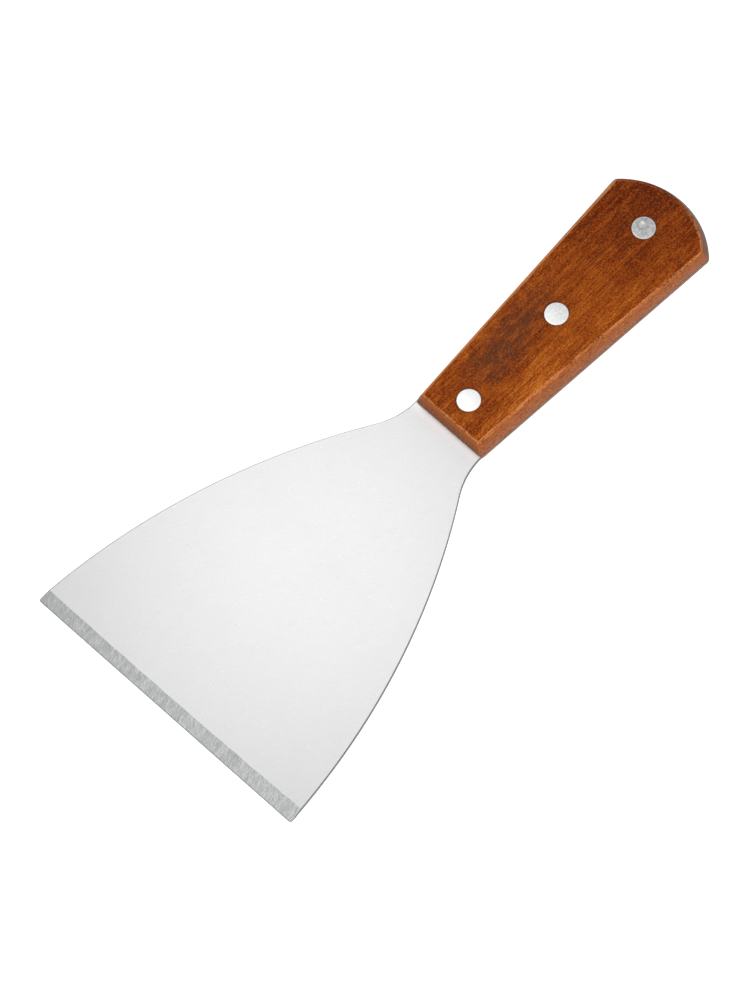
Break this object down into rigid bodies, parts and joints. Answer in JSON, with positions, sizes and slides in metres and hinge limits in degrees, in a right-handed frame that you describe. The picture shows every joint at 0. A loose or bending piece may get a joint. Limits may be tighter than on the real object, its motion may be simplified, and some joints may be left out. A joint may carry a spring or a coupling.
{
  "type": "scraping and taping knife",
  "caption": "Stiff full-tang hand knife: flared steel blade with a ground chisel edge, tapered wooden scales with sloping sides, held by flush compression rivets.",
  "frame": {"origin": "under the middle of the knife's length and width, in the plane of the back scale's outer face", "axes": "+X from the butt to the cutting edge, +Y across the blade, +Z out of the front face, on whose side the edge is ground"},
  "size_m": [0.215, 0.1004, 0.0143],
  "materials": {
    "blade_steel": "satin rolled stainless steel, with a coarser grey ground band along the cutting edge",
    "scale_wood": "red-brown stained close-grained hardwood, thin satin varnish, worn lighter along the arrises",
    "rivet_aluminium": "pale aluminium, ground flush with the wood"
  },
  "bodies": {
    "root": {"blade": "blade_steel", "front_scale": "scale_wood", "back_scale": "scale_wood", "front_rivet_tube": "rivet_aluminium", "front_rivet_pin": "rivet_aluminium", "middle_rivet_tube": "rivet_aluminium", "middle_rivet_pin": "rivet_aluminium", "butt_rivet_tube": "rivet_aluminium", "butt_rivet_pin": "rivet_aluminium"}
  },
  "joints": []
}
